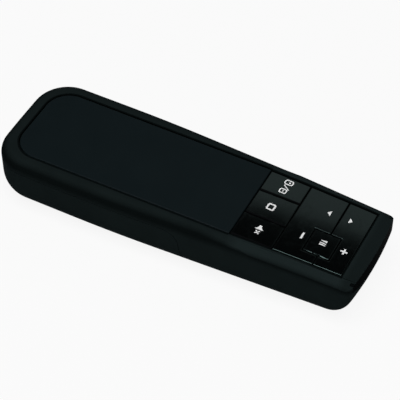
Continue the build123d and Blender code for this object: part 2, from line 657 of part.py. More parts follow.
# ---- Screws ----------------------------------------------------------------------------
def screw(place, seat, tip):
    """Pan-head screw: its head sits on the seat level, away from the tip."""
    away = -1 if tip > seat else 1
    head_end = seat + away * SCREW_HEAD_HEIGHT
    head = upright(SCREW_HEAD_RADIUS, min(seat, head_end), max(seat, head_end), place)
    shank = upright(SCREW_RADIUS, min(seat, tip), max(seat, tip), place)
    x, y = place
    levels = sorted((head_end, head_end - away * CROSS_DEPTH))
    cross = [block((x - a, x + a), (y - b, y + b), levels)
             for a, b in ((CROSS_SIZE / 2, CROSS_WIDTH / 2), (CROSS_WIDTH / 2, CROSS_SIZE / 2))]
    return head + shank - cross[0] - cross[1]


def housing_screws():
    """Two screws through the bottom cover and two through the tray's tail."""
    front = [screw(place, FRONT_HEAD_SINK + SCREW_HEAD_HEIGHT, FRONT_BOSS_END + SCREW_REACH)
             for place in FRONT_SCREWS]
    tail = [screw(p, TRAY_CEILING[0], TRAY_CEILING[1] + SCREW_REACH / 2) for p in TAIL_SCREWS]
    return front + tail


def pcb_screws():
    seat = FRAME_TOP - PCB_HEAD_SINK
    return [screw(p, seat, PCB_BOTTOM - SCREW_REACH / 2) for p in PCB_POSTS]


# ---- Front window ----------------------------------------------------------------------
def window_prism(grow):
    """The window's front view, swept along X through the keypad end."""
    half, top = WINDOW_HALF_WIDTH + grow, WINDOW_TOP + grow
    low, end_low = WINDOW_BOTTOM - grow, WINDOW_END_BOTTOM - grow
    with BuildSketch(Plane.YZ) as shape:
        with BuildLine():
            ThreePointArc((-half, end_low), (0, low), (half, end_low))
            Polyline((half, end_low), (half, top), (-half, top), (-half, end_low))
        make_face()
        fillet(shape.vertices(), WINDOW_CORNER_RADIUS)
    return Pos(FRONT - 3 * WALL, 0, 0) * extrude(shape.sketch, amount=6 * WALL)


def front_window(outer):
    """Dark inlay flush with the keypad end's face."""
    return (outer & window_prism(0)) - nose_form(WINDOW_THICKNESS)


def window_openings():
    """Recess for the inlay and the hole behind it."""
    recess = window_prism(WINDOW_GAP) - nose_form(WINDOW_THICKNESS)
    return recess + window_prism(-WINDOW_LEDGE)


# ---- Seam ------------------------------------------------------------------------------
def ahead_of_seam(shift):
    """Everything above the battery door's seam and ahead of it."""
    level, below = SEAM_HEIGHT + shift, -1.0
    corner, foot = (SEAM_CORNER_X + shift, level), (SEAM_FOOT_X + shift, below)
    with BuildSketch(Plane.XZ) as region:
        Polygon((-FAR, level), corner, foot, (FAR, below), (FAR, FAR), (-FAR, FAR), align=None)
        bend = [v for v in region.vertices() if abs(v.X - corner[0]) + abs(v.Y - level) < 0.01]
        fillet(bend, SEAM_RADIUS)
    return extrude(region.sketch, amount=FAR, both=True)


# ---- Housing halves --------------------------------------------------------------------
def top_housing(outer):
    """Upper shell, with the whole of the side walls in the keypad half."""
    shell = (outer - blank_form(WALL)) & ahead_of_seam(SEAM_GAP / 2)
    shell = shell - block((SEAM_CORNER_X, FAR), (-FAR, FAR), (-1, COVER_HEIGHT + SEAM_GAP / 2))
    ceiling = HEIGHT - WALL + BOSS_ROOT
    shell = shell + joined(upright(BOSS_RADIUS, FRONT_BOSS_END, ceiling, p) for p in FRONT_SCREWS)
    shell = shell + joined(upright(BOSS_RADIUS, TRAY_CEILING[1], ceiling, p) for p in TAIL_SCREWS)
    pocket = Pos(0, 0, HEIGHT - PANEL_THICKNESS) * extrude(panel_outline(PANEL_GROOVE), amount=HEIGHT)
    shell = shell - pocket - (extrude(keypad_outline(), amount=HEIGHT) & deck_layer(-1, HEIGHT / 3))
    hole = SCREW_RADIUS + SCREW_FIT
    for place in FRONT_SCREWS:
        shell = shell - upright(hole, 0, FRONT_BOSS_END + SCREW_REACH + 1, place)
    for place in TAIL_SCREWS:
        shell = shell - upright(hole, 0, TRAY_CEILING[1] + SCREW_REACH / 2, place)
    return shell - window_openings()


def palm_panel():
    """Thumb pad let into the top housing."""
    plate = Pos(0, 0, HEIGHT - PANEL_THICKNESS) * extrude(panel_outline(), amount=PANEL_THICKNESS)
    return fillet(plate.edges().group_by(Axis.Z)[-1], PANEL_EDGE_RADIUS)


def cover_dish(outer):
    """Floor of the keypad half with tabs that stand inside the top housing's walls."""
    ahead = ahead_of_seam(SEAM_GAP / 2)
    base = block((SEAM_CORNER_X, FAR), (-FAR, FAR), (-1, COVER_HEIGHT - SEAM_GAP / 2))
    dish = (outer - blank_form(COVER_WALL)) & base & ahead
    root, inside = blank_form(COVER_WALL / 2) & base, blank_form(WALL + PART_GAP)
    fitted = inside - blank_form(WALL + PART_GAP + TAB_THICKNESS)
    for x in TAB_PLACES:
        for side in (1, -1):
            across = sorted((side * FRONT_HALF_WIDTH / 2, side * FAR))
            zone = block((x - TAB_LENGTH / 2, x + TAB_LENGTH / 2), across, (0, TAB_HEIGHT))
            dish = dish + (fitted & zone) + ((root - inside) & zone) + (fitted & zone & base)
    towers = [upright(BOSS_RADIUS, 0, FRONT_BOSS_END, p) for p in FRONT_SCREWS]
    posts = [upright(POST_RADIUS, 0, PCB_BOTTOM, p) for p in PCB_POSTS]
    dish = dish + (joined(towers + posts) & (root + inside))
    for place in FRONT_SCREWS:
        dish = dish - upright(SCREW_RADIUS + SCREW_FIT, -1, HEIGHT, place)
        dish = dish - upright(SCREW_HEAD_RADIUS + PART_GAP, -1, FRONT_HEAD_SINK + SCREW_HEAD_HEIGHT, place)
    for place in PCB_POSTS:
        dish = dish - upright(SCREW_RADIUS + SCREW_FIT, PCB_BOTTOM - SCREW_REACH, HEIGHT, place)
    return dish - power_openings()


def tray_bounds():
    """The room the battery door leaves for the tray as it slides away."""
    wide = block((TRAY_TAB_END, TRAY_FRONT), (-TRAY_HALF_WIDTH, TRAY_HALF_WIDTH), (TRAY_WALL_BOTTOM, HEIGHT))
    foot = TRAY_FOOT_HALF_WIDTH
    return wide + block((TRAY_TAB_END, TRAY_FRONT), (-foot, foot), (TRAY_FOOT, HEIGHT))


def battery_tray():
    """Ceiling, rails and walls of the battery bay, open downwards, with the receiver's bay."""
    low, high = TRAY_CEILING
    ceiling = block((TRAY_TAB_END, TRAY_FRONT), (-RAIL_HALF_WIDTH, RAIL_HALF_WIDTH), (low, high))
    ceiling = ceiling & blank_form(WALL + MOVING_GAP)
    ends = [block((x, x + TRAY_END_WALL), (-FAR, FAR), (0, low))
            for x in (TRAY_TAIL, TRAY_FRONT - TRAY_END_WALL)]
    inner_half_width = TRAY_HALF_WIDTH - TRAY_WALL
    sides = [block((TRAY_TAIL, TRAY_FRONT), sorted((s * TRAY_HALF_WIDTH, s * inner_half_width)), (0, low))
             for s in (1, -1)]
    walls = joined(ends + sides) & tray_bounds()
    brackets = [block((TRAY_FRONT - TRAY_END_WALL, BRACKET_END), sorted((s * BRACKET_Y[0], s * BRACKET_Y[1])),
                      (TRAY_FOOT, high)) for s in (1, -1)]
    feet = [block((BRACKET_FOOT_START, BRACKET_END), sorted((s * BRACKET_Y[0], s * BRACKET_Y[1])),
                  (COVER_WALL / 2, high)) for s in (1, -1)]
    tray = joined([ceiling, walls] + brackets + feet)
    bay, room = receiver_bay()
    tray = tray + bay - room
    for place in TAIL_SCREWS:
        tray = tray - upright(SCREW_RADIUS + SCREW_FIT, 0, HEIGHT, place)
    return tray


def receiver_bay():
    """Outside and inside of the raised bay the receiver is stowed in."""
    x0, x1 = RECEIVER_X[0] - MOVING_GAP, RECEIVER_X[1] + MOVING_GAP
    half, top, wall = RECEIVER_HALF_THICKNESS + MOVING_GAP, RECEIVER_Z[1] + MOVING_GAP, RECEIVER_BAY_WALL
    bay = block((x0 - wall, x1 + wall), (-half - wall, half + wall), (RECEIVER_BAY_BOTTOM, top + wall))
    return bay, block((x0, x1), (-half, half), (0, top))


def bottom_housing(outer):
    """Bottom cover of the keypad half in one piece with the battery tray."""
    return cover_dish(outer) + battery_tray()


def battery_door(outer):
    """Belly of the palm half: hooks over the tray's rails and slides off past the tail."""
    shell = outer - blank_form(DOOR_WALL)
    inside = blank_form(DOOR_WALL / 2)
    lips = [block((LIP_START, LIP_END), sorted((s * LIP_HALF_WIDTH, s * FAR)), (LIP_BOTTOM, LIP_TOP)) & inside
            for s in (1, -1)]
    door = shell + lips[0] + lips[1] - ahead_of_seam(-SEAM_GAP / 2)
    for i in range(GRIP_COUNT):
        groove = Rot(90, 0, 0) * Cylinder(GRIP_RADIUS, GRIP_LENGTH)
        door = door - Pos(GRIP_START - i * GRIP_PITCH, 0, GRIP_DEPTH - GRIP_RADIUS) * groove
    return door


# ---- Battery bay contents --------------------------------------------------------------
def bay_limits():
    """Faces of the contact plates, tail and front."""
    return TRAY_TAIL + TRAY_END_WALL + CONTACT_THICKNESS, TRAY_FRONT - TRAY_END_WALL - CONTACT_THICKNESS


def cell(side):
    """One cell: the far one's nub touches the front contact, the near one's the tail contact."""
    tail, front = bay_limits()
    tip, away = (front, -1) if side > 0 else (tail, 1)
    base = tip + away * CELL_NUB
    end = base + away * CELL_LENGTH
    body = lying(CELL_RADIUS, min(base, end), max(base, end), side * CELL_Y, CELL_Z)
    body = fillet(body.edges(), PART_GAP)
    return body + lying(CELL_NUB_RADIUS, min(tip, base), max(tip, base), side * CELL_Y, CELL_Z)


def battery_springs():
    """Coils between the flat cell ends and their contacts."""
    tail, front = bay_limits()
    gap = front - tail - CELL_NUB - CELL_LENGTH
    length = gap - 2 * SPRING_WIRE
    path = Helix(length / SPRING_TURNS, length, SPRING_RADIUS, cone_angle=8)
    wire = Plane(origin=path @ 0, z_dir=path % 0) * Circle(SPRING_WIRE)
    coil = sweep(wire, path=path, is_frenet=True)
    far = Pos(tail + SPRING_WIRE, CELL_Y, CELL_Z) * Rot(0, 90, 0) * coil
    near = Pos(front - SPRING_WIRE, -CELL_Y, CELL_Z) * Rot(0, -90, 0) * coil
    return [far, near]


def battery_contacts():
    """Four plates on the bay's end walls."""
    tail, front = bay_limits()
    half = CONTACT_SIZE / 2
    plates = []
    for x_range in ((tail - CONTACT_THICKNESS, tail), (front, front + CONTACT_THICKNESS)):
        for y in (CELL_Y, -CELL_Y):
            plates.append(block(x_range, (y - half, y + half), (CELL_Z - half, CELL_Z + half)))
    return plates


def receiver_shell():
    """Grip of the stowed receiver, standing on its edge."""
    x_range = (RECEIVER_X[0], RECEIVER_X[1] - PLUG_LENGTH)
    half = RECEIVER_HALF_THICKNESS
    grip = fillet(block(x_range, (-half, half), RECEIVER_Z).edges(), RECEIVER_EDGE)
    return grip - plug_form(PLUG_LENGTH + 3, 0)


def plug_form(length, inset):
    """The plug's outer block, shrunk by inset, its length measured back from the tip."""
    middle = (RECEIVER_Z[0] + RECEIVER_Z[1]) / 2
    high, thick = PLUG_HALF_HEIGHT - inset, PLUG_HALF_THICKNESS - inset
    return block((RECEIVER_X[1] - length, RECEIVER_X[1]), (-thick, thick), (middle - high, middle + high))


def receiver_plug():
    """Sheet-metal sleeve."""
    return plug_form(PLUG_LENGTH + 3, 0) - plug_form(PLUG_LENGTH + 3, PLUG_WALL)


def receiver_tongue():
    """Contact board inside the sleeve, lying against one broad side."""
    middle = (RECEIVER_Z[0] + RECEIVER_Z[1]) / 2
    high, low_y = PLUG_HALF_HEIGHT - PLUG_WALL, PLUG_WALL - PLUG_HALF_THICKNESS
    x_range = (RECEIVER_X[1] - PLUG_LENGTH - 3, RECEIVER_X[1] - PLUG_WALL)
    return block(x_range, (low_y, low_y + 2 * TONGUE_HALF_THICKNESS), (middle - high, middle + high))


# ---- Output ----------------------------------------------------------------------------
def all_parts():
    """Every node's name and its shape or list of shapes."""
    outer = outer_form()
    left = -keypad_half_width(DECK_START)
    return {
        "top_housing": top_housing(outer),
        "bottom_housing": bottom_housing(outer),
        "battery_door": battery_door(outer),
        "palm_panel": palm_panel(),
        "front_window": front_window(outer),
        "key_screen": rear_key(UPPER_SPLIT, -left, REAR_SWITCHES[0]),
        "key_blank": rear_key(LOWER_SPLIT, UPPER_SPLIT, REAR_SWITCHES[1]),
        "key_mute": rear_key(left, LOWER_SPLIT, REAR_SWITCHES[2]),
        "rocker_rear": rocker(ROW_SPLIT, ROCKER_SPLIT, ROCKER_REAR_SWITCHES),
        "rocker_front": rocker(ROCKER_SPLIT, KEYPAD_END, ROCKER_FRONT_SWITCHES),
        "key_laser": centre_key(),
        "key_frame": key_frame(),
        "main_pcb": main_pcb(),
        "tact_switches": [tact_switch(x, y) for x, y in all_switches()],
        "controller_chip": controller_chip(),
        "pcb_components": pcb_components(),
        "laser_barrel": laser_barrel(),
        "laser_lens": laser_lens(),
        "power_switch": power_switch(),
        "power_slider": power_slider(),
        "battery_left": cell(1),
        "battery_right": cell(-1),
        "battery_springs": battery_springs(),
        "battery_contacts": battery_contacts(),
        "receiver_shell": receiver_shell(),
        "receiver_plug": receiver_plug(),
        "receiver_tongue": receiver_tongue(),
        "housing_screws": housing_screws(),
        "pcb_screws": pcb_screws(),
    }


if __name__ == "__main__":
    os.makedirs("parts", exist_ok=True)
    for name, shape in all_parts().items():
        export_step(Compound(children=shape) if isinstance(shape, list) else shape, f"parts/{name}.step")
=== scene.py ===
import math

import bmesh
import bpy
from bpy.props import FloatProperty, FloatVectorProperty, PointerProperty
from bpy.types import Operator, Panel, PropertyGroup
from mathutils import Matrix, Vector


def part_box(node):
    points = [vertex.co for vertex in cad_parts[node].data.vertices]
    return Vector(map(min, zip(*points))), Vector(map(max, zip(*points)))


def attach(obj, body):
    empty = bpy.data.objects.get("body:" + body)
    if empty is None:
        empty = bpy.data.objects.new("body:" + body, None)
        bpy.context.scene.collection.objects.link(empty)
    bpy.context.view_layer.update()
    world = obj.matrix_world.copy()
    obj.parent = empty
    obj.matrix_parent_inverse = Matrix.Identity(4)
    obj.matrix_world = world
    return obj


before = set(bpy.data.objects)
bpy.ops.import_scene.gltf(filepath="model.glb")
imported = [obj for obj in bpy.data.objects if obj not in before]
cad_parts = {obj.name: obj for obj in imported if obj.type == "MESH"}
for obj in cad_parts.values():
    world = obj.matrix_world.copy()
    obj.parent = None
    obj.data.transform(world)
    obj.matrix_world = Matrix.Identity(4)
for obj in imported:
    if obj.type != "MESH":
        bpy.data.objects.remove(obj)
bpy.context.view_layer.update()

bl_info = {
    "name": "Presentation Clicker Dressing",
    "version": (1, 0, 0),
    "blender": (4, 5, 0),
    "location": "View3D > Sidebar > Clicker",
    "description": "Finishes, printed signs and a studio for a hand-held wireless presentation clicker",
    "category": "Object",
}

MM = 0.001

# The solids' levels and edges that the finishes and the signs follow, in millimetres
DECK_HEIGHT = 20.6
DECK_START = 20.45
DECK_END = 62.45
DECK_DROP = 1.0                 # how far the keys' tops fall towards the nose
KEY_RECESS = 0.15
KEYPAD_END = 57.05
KEYPAD_END_HALF_WIDTH = 13.75
KEYPAD_RIM = (0.35, 0.60)       # painted shadow: dark up to the first, faded out at the second
KEYPAD_RIM_FLOOR = 0.8          # only this far above the crease
KEYPAD_RIM_REACH = 0.4          # past the keypad's end
PAD_START = -56.75
PAD_START_HALF_WIDTH = 15.07
PAD_END_HALF_WIDTH = 14.7
PAD_CORNER = 8.0
PAD_RIM = (0.70, 0.95)          # painted shadow: dark up to the first, faded out at the second
PAD_RIM_FLOOR = 19.4            # only above this height
CREASE_DEPTH = 2.45             # below the deck's level where the deck starts
CREASE_SINK = 1.3               # and farther down at the nose
CREASE_BELOW = (-1.7, 0.3)      # heights between which the valley's painted shade darkens
CREASE_ABOVE = (0.1, 1.2)       # and lightens again
SHOULDER_RISE = 1.15            # how much broader the valley's painted shade is on the palm half
SHOULDER_END = (12.0, 26.0)     # where the shoulder runs out into the deck
DECK_EDGE = (0.4, 1.3)          # heights above the crease between which the deck's painted highlight sets in
DECK_EDGE_RUN = 4.0             # from the deck's start
NOSE_FADE = (-0.5, 2.0)         # from the keypad's end
ROW_SPLIT = 34.35
CENTRE_KEY = (42.55, 51.15)     # a little past both ends of the key
REAR_ROW_EDGES = ((5.95, 0.30), (-4.25, 0.30), (-14.35, 0.55))  # near edges and their half widths
CENTRE_CUT = (-0.45, 0.30)      # the rockers' edge beside the centre key
EDGE_FADE = 0.2

# Shares of the shell's colour for its painted shade, painted shadow and painted highlight
CREASE_SHADE = 0.38
DECK_HIGHLIGHT = 1.45
RIM_SHADE = 0.35

# Where the signs stand on the keys and on the underside, along and across
SIGN_PLACES = {
    "screen": (27.45, 10.4), "square": (26.95, 0.8), "mute": (27.65, -9.0),
    "back": (43.65, 7.0), "forward": (50.80, 7.15), "minus": (40.25, -5.0), "plus": (53.85, -4.8),
    "centre": (46.95, -4.7), "off": (22.6, 5.2), "on": (29.4, 5.2), "door": (-25.5, 0.0),
}

# Shares of a cell's length, from its flat end
SLEEVE_ENDS = (0.012, 0.985)
CELL_BAND_START = 0.80
HAIRLINE = (0.785, 0.797)

# Metals: colour, roughness, stretch of the lines, size of the lines in metres, and tarnish
METALS = {
    "turned_brass": ((0.72, 0.52, 0.22), 0.22, (6.0, 1.0, 1.0), 0.0004, 0.25),
    "switch_can": ((0.60, 0.60, 0.61), 0.24, (1.0, 9.0, 9.0), 0.0004, 0.25),
    "tact_switch_can": ((0.62, 0.62, 0.62), 0.26, (1.0, 9.0, 9.0), 0.0004, 0.25),
    "spring_wire": ((0.72, 0.70, 0.66), 0.20, (1.0, 1.0, 1.0), 0.0004, 0.25),
    "contact_plate": ((0.72, 0.70, 0.66), 0.24, (1.0, 1.0, 9.0), 0.0004, 0.25),
    "plug_sleeve": ((0.66, 0.66, 0.65), 0.22, (9.0, 1.0, 1.0), 0.0004, 0.25),
    "black_zinc": ((0.16, 0.16, 0.17), 0.30, (1.0, 1.0, 1.0), 0.0003, 0.5),
}

# Moulded and fired small parts: roughness, and the grain's size and depth in metres
PLASTICS = {
    "knob_black": (0.50, 0.00018, 0.00001),
    "receiver_grip": (0.42, 0.00014, 0.000006),
    "plug_tongue": (0.40, 0.0002, 0.000004),
    "frame_grey": (0.55, 0.0002, 0.00001),
    "ceramic_parts": (0.45, 0.0002, 0.00001),
}
KNOB_COLOUR = (0.016, 0.016, 0.017)
GRIP_COLOUR = (0.012, 0.012, 0.013)
TONGUE_COLOUR = (0.60, 0.60, 0.57)
CERAMIC_COLOUR = (0.11, 0.095, 0.075)
COPPER_COLOUR = (0.045, 0.160, 0.060)   # copper under the green mask
EPOXY_COLOURS = ((0.014, 0.014, 0.015), (0.026, 0.026, 0.027))
LENS_COLOURS = ((0.93, 0.95, 0.96), (0.98, 0.99, 0.99))
HAIRLINE_COLOUR = (0.62, 0.62, 0.60)
CELL_STEEL = (0.56, 0.56, 0.55)
WHITE = (1.0, 1.0, 1.0)
OVERHEAD_COLOUR = (0.05, 0.05, 0.05)

# Each softbox's width and depth, its place and the spot that it faces, in metres
SOFTBOXES = {
    "far_softbox": ((0.80, 0.62), (0.10, 0.798, 0.62), (0.10, 0.798, 0.0)),
    "top_softbox": ((0.90, 0.60), (0.10, -0.29, 1.09), (0.0, 0.0, 0.0)),
    "near_softbox": ((0.80, 0.20), (0.20, -0.98, 0.14), (0.0, 0.0, 0.0)),
}
FLOOR_HALF_WIDTH = 3.0
FLOOR_DROP = 0.0002

# The camera's place and the directions of its picture's right, its top and its back
CAMERA_PLACE = (0.15835, -0.29734, 0.38463)
CAMERA_RIGHT = (0.88620, 0.46330, 0.0)
CAMERA_UP = (-0.34430, 0.65857, 0.66913)
CAMERA_BACK = (0.31001, -0.59298, 0.74314)
CAMERA_LENS = 144.0
CAMERA_FILM = 36.0


# ---- Sizes and colours ---------------------------------------------------------------------------
def colour_setting(name, description, default):
    return FloatVectorProperty(name=name, description=description, subtype="COLOR", size=3, min=0.0, max=1.0,
                               default=default)


def length_setting(name, description, default):
    return FloatProperty(name=name, description=description, unit="LENGTH", subtype="DISTANCE", min=0.0,
                         default=default * MM, precision=5)


def plain_setting(name, description, default, high=10.0):
    return FloatProperty(name=name, description=description, min=0.0, max=high, default=default)


class ClickerColours(PropertyGroup):
    housing: colour_setting("Housing", "Soft-touch black of the shell, door and cover",
                            (0.0082, 0.0122, 0.0124))
    thumb_pad: colour_setting("Thumb pad", "Satin black of the long inlay", (0.0050, 0.0092, 0.0106))
    keys: colour_setting("Keys", "Gloss black of the keycaps", (0.0006, 0.0007, 0.0008))
    signs: colour_setting("Signs", "White ink of the printed signs", (0.90, 0.91, 0.91))
    window: colour_setting("Window", "Smoked infrared window", (0.0020, 0.0026, 0.0028))
    inner_plastic: colour_setting("Inner plastic", "Moulded frame behind the keys", (0.030, 0.031, 0.032))
    board: colour_setting("Board", "Solder mask of the circuit board", (0.010, 0.085, 0.032))
    cell_sleeve: colour_setting("Cell sleeve", "Printed sleeve of the two cells", (0.030, 0.035, 0.045))
    cell_band: colour_setting("Cell band", "Band at the positive end of the cells", (0.55, 0.30, 0.09))


class ClickerFinishes(PropertyGroup):
    housing_roughness: plain_setting("Housing roughness", "Roughness of the soft-touch shell", 0.52, 1.0)
    pad_roughness: plain_setting("Pad roughness", "Roughness of the satin inlay", 0.40, 1.0)
    key_roughness: plain_setting("Key roughness", "Roughness of the polished keycaps", 0.07, 1.0)
    grain: length_setting("Grain", "Size of the moulded grain on the shell", 0.26)
    grain_depth: length_setting("Grain depth", "Depth of the moulded grain on the shell", 0.012)


class ClickerSigns(PropertyGroup):
    ink: length_setting("Ink", "Thickness of the printed signs", 0.03)
    stroke: length_setting("Stroke", "Width of the signs' lines", 0.54)
    fine_stroke: length_setting("Fine stroke", "Width of the lines of the screen and centre signs", 0.39)
    square: length_setting("Square", "Outer width of the blank-screen sign", 2.7)
    arrow_length: length_setting("Arrow length", "Length of the back and forward signs", 1.15)
    arrow_width: length_setting("Arrow width", "Width of the back and forward signs", 2.2)
    bar: length_setting("Bar", "Length of the volume-down sign", 2.5)
    plus: length_setting("Plus", "Span of the volume-up sign", 2.2)


class ClickerStudio(PropertyGroup):
    floor: colour_setting("Floor", "Pale sweep under the clicker", (0.70, 0.70, 0.70))
    far_softbox: plain_setting("Far softbox", "Power of the long softbox behind the clicker", 0.70, 100.0)
    top_softbox: plain_setting("Top softbox", "Power of the broad softbox overhead", 11.0, 100.0)
    near_softbox: plain_setting("Near softbox", "Power of the low softbox on the camera's side", 1.3, 100.0)
    sky: plain_setting("Sky", "Strength of the room's light", 0.28)


# ---- Node maths ----------------------------------------------------------------------------------
class Number:
    """A number that varies over a surface: arithmetic on it adds Math nodes."""

    def __init__(self, paint, socket):
        self.paint = paint
        self.socket = socket

    def maths(self, operation, first, second):
        made = self.paint.node("ShaderNodeMath", {"operation": operation}, {0: first, 1: second})
        return made.number("Value")

    def __add__(self, other):
        return self.maths("ADD", self, other)

    __radd__ = __add__

    def __mul__(self, other):
        return self.maths("MULTIPLY", self, other)

    __rmul__ = __mul__

    def __sub__(self, other):
        return self.maths("SUBTRACT", self, other)

    def __rsub__(self, other):
        return self.maths("SUBTRACT", other, self)

    def __gt__(self, other):
        return self.maths("GREATER_THAN", self, other)

    def __lt__(self, other):
        return self.maths("LESS_THAN", self, other)

    def __pow__(self, other):
        return self.maths("POWER", self, other)

    def __abs__(self):
        return self.paint.node("ShaderNodeMath", {"operation": "ABSOLUTE"}, {0: self}).number("Value")


class Made:
    """A node just made, with its outputs at hand."""

    def __init__(self, paint, node):
        self.paint = paint
        self.node = node

    def number(self, output):
        return Number(self.paint, self.node.outputs[output])

    def out(self, output):
        return self.node.outputs[output]


class Paint:
    """A material or a world under construction."""

    def __init__(self, block):
        self.block = block
        block.use_nodes = True
        self.tree = block.node_tree
        self.tree.nodes.clear()

    def node(self, kind, settings=None, sockets=None):
        """A new node: its settings first, then values or links for its sockets."""
        made = self.tree.nodes.new(kind)
        for name, value in (settings or {}).items():
            setattr(made, name, value)
        for name, value in (sockets or {}).items():
            if isinstance(value, Number):
                self.tree.links.new(value.socket, made.inputs[name])
            elif isinstance(value, bpy.types.NodeSocket):
                self.tree.links.new(value, made.inputs[name])
            else:
                made.inputs[name].default_value = value
        return Made(self, made)

    def place(self, scale=(1, 1, 1)):
        """Object coordinates, stretched."""
        coordinates = self.node("ShaderNodeTexCoord").out("Object")
        return self.node("ShaderNodeMapping", {}, {"Vector": coordinates, "Scale": scale}).out("Vector")

    def along(self, axis):
        """One of the object coordinates, in metres."""
        split = self.node("ShaderNodeSeparateXYZ", {}, {0: self.node("ShaderNodeTexCoord").out("Object")})
        return split.number(axis)

    def noise(self, size, detail=2.0, distortion=0.0, place=None):
        """Cloudy variation from 0 to 1, with features of about this size in metres."""
        return self.node("ShaderNodeTexNoise", {}, {"Vector": place or self.place(), "Scale": 1.0 / size,
                                                    "Detail": detail, "Distortion": distortion}).number("Fac")

    def ramp(self, value, low, high):
        """Value stretched so that low becomes 0 and high becomes 1, kept between the two."""
        return self.node("ShaderNodeMapRange", {"clamp": True},
                         {"Value": value, "From Min": low, "From Max": high}).number("Result")

    def clamp(self, value):
        """Value kept between 0 and 1."""
        return self.ramp(value, 0.0, 1.0)

    def span(self, value, ends):
        """The same stretch, from two ends in millimetres."""
        return self.ramp(value, ends[0] * MM, ends[1] * MM)

    def blend(self, factor, first, second):
        """Colour between two colours."""
        mix = self.node("ShaderNodeMix", {"data_type": "RGBA"},
                        {0: factor, 6: opaque(first), 7: opaque(second)})
        return mix.out(2)

    def bump(self, height, depth, below=None):
        """Normal of a relief this deep in metres."""
        sockets = {"Height": height, "Distance": depth, "Strength": 1.0}
        if below is not None:
            sockets["Normal"] = below
        return self.node("ShaderNodeBump", {}, sockets).out("Normal")

    def surface(self, **sockets):
        """A surface shader, with underscores for the spaces in its sockets' names."""
        names = {name.replace("_", " "): value for name, value in sockets.items()}
        if "Base Color" in names:
            names["Base Color"] = opaque(names["Base Color"])
        return self.node("ShaderNodeBsdfPrincipled", {}, names).out("BSDF")

    def between(self, factor, first, second):
        """Surface between two surfaces."""
        mix = self.node("ShaderNodeMixShader", {}, {0: factor, 1: first, 2: second})
        return mix.out("Shader")

    def close(self, surface):
        """Ends the material with this surface."""
        self.node("ShaderNodeOutputMaterial", {}, {"Surface": surface})
        return self.block

    def finish(self, **sockets):
        """Ends the material with one surface shader."""
        return self.close(self.surface(**sockets))


def new_paint(name):
    return Paint(bpy.data.materials.new(name))


def opaque(shade):
    """A plain colour with full alpha; a link stays as it is."""
    if isinstance(shade, bpy.types.NodeSocket):
        return shade
    return (*tuple(shade)[:3], 1.0)


def shaded(shade, factor):
    """A colour made lighter or darker."""
    return tuple(channel * factor for channel in tuple(shade)[:3])


def settings():
    return bpy.context.scene.clicker


def dress(material, *nodes):
    """Gives CAD nodes their finish."""
    for name in nodes:
        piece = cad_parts[name]
        piece.data.materials.clear()
        piece.data.materials.append(material)


# ---- Plastics ------------------------------------------------------------------------------------
def over_crease(paint):
    """Height above the crease where the palm half's shoulder or the deck's edge meets the side wall."""
    run = paint.span(paint.along("X"), (DECK_START, DECK_END))
    return paint.along("Z") - ((DECK_HEIGHT - CREASE_DEPTH) * MM - run * run * (CREASE_SINK * MM))


def crease_shade_mask(paint):
    """1 where shade is painted into the soft valley of the crease, which is broader on the palm half's
    shoulder.
    """
    height = over_crease(paint)
    palm = 1.0 - paint.span(paint.along("X"), SHOULDER_END)
    above = paint.span(height - palm * (SHOULDER_RISE * MM), CREASE_ABOVE)
    return paint.span(height, CREASE_BELOW) * (1.0 - above)


def deck_edge_highlight_mask(paint):
    """1 on the deck's long edges, which are painted lighter as a highlight, 0 in the crease and on the nose.
    """
    along = paint.along("X")
    run = paint.span(along, (DECK_START, DECK_START + DECK_EDGE_RUN))
    nose = paint.span(along, (KEYPAD_END + NOSE_FADE[0], KEYPAD_END + NOSE_FADE[1]))
    return paint.span(over_crease(paint), DECK_EDGE) * run * (1.0 - nose)


def pad_rim_shadow_mask(paint):
    """1 where shadow is painted on the groove's rolled edge round the thumb pad, 0 farther out."""
    along = paint.along("X")
    run = paint.span(along, (PAD_START, DECK_START))
    half = PAD_START_HALF_WIDTH * MM - run * ((PAD_START_HALF_WIDTH - PAD_END_HALF_WIDTH) * MM)
    across = paint.clamp(abs(paint.along("Y")) - half + PAD_CORNER * MM)
    behind = paint.clamp((PAD_START + PAD_CORNER) * MM - along)
    away = (across * across + behind * behind) ** 0.5
    near = 1.0 - paint.span(away, (PAD_CORNER + PAD_RIM[0], PAD_CORNER + PAD_RIM[1]))
    return near * (along < DECK_START * MM) * (paint.along("Z") > PAD_RIM_FLOOR * MM)


def keypad_rim_shadow_mask(paint):
    """1 where shadow is painted on the deck's edge right beside the keypad's long sides, 0 farther out."""
    along = paint.along("X")
    run = paint.span(along, (DECK_START, KEYPAD_END))
    half = PAD_END_HALF_WIDTH * MM - run * ((PAD_END_HALF_WIDTH - KEYPAD_END_HALF_WIDTH) * MM)
    near = 1.0 - paint.span(abs(paint.along("Y")) - half, KEYPAD_RIM)
    beside = (along > DECK_START * MM) * (along < (KEYPAD_END + KEYPAD_RIM_REACH) * MM)
    return near * beside * (over_crease(paint) > KEYPAD_RIM_FLOOR * MM)


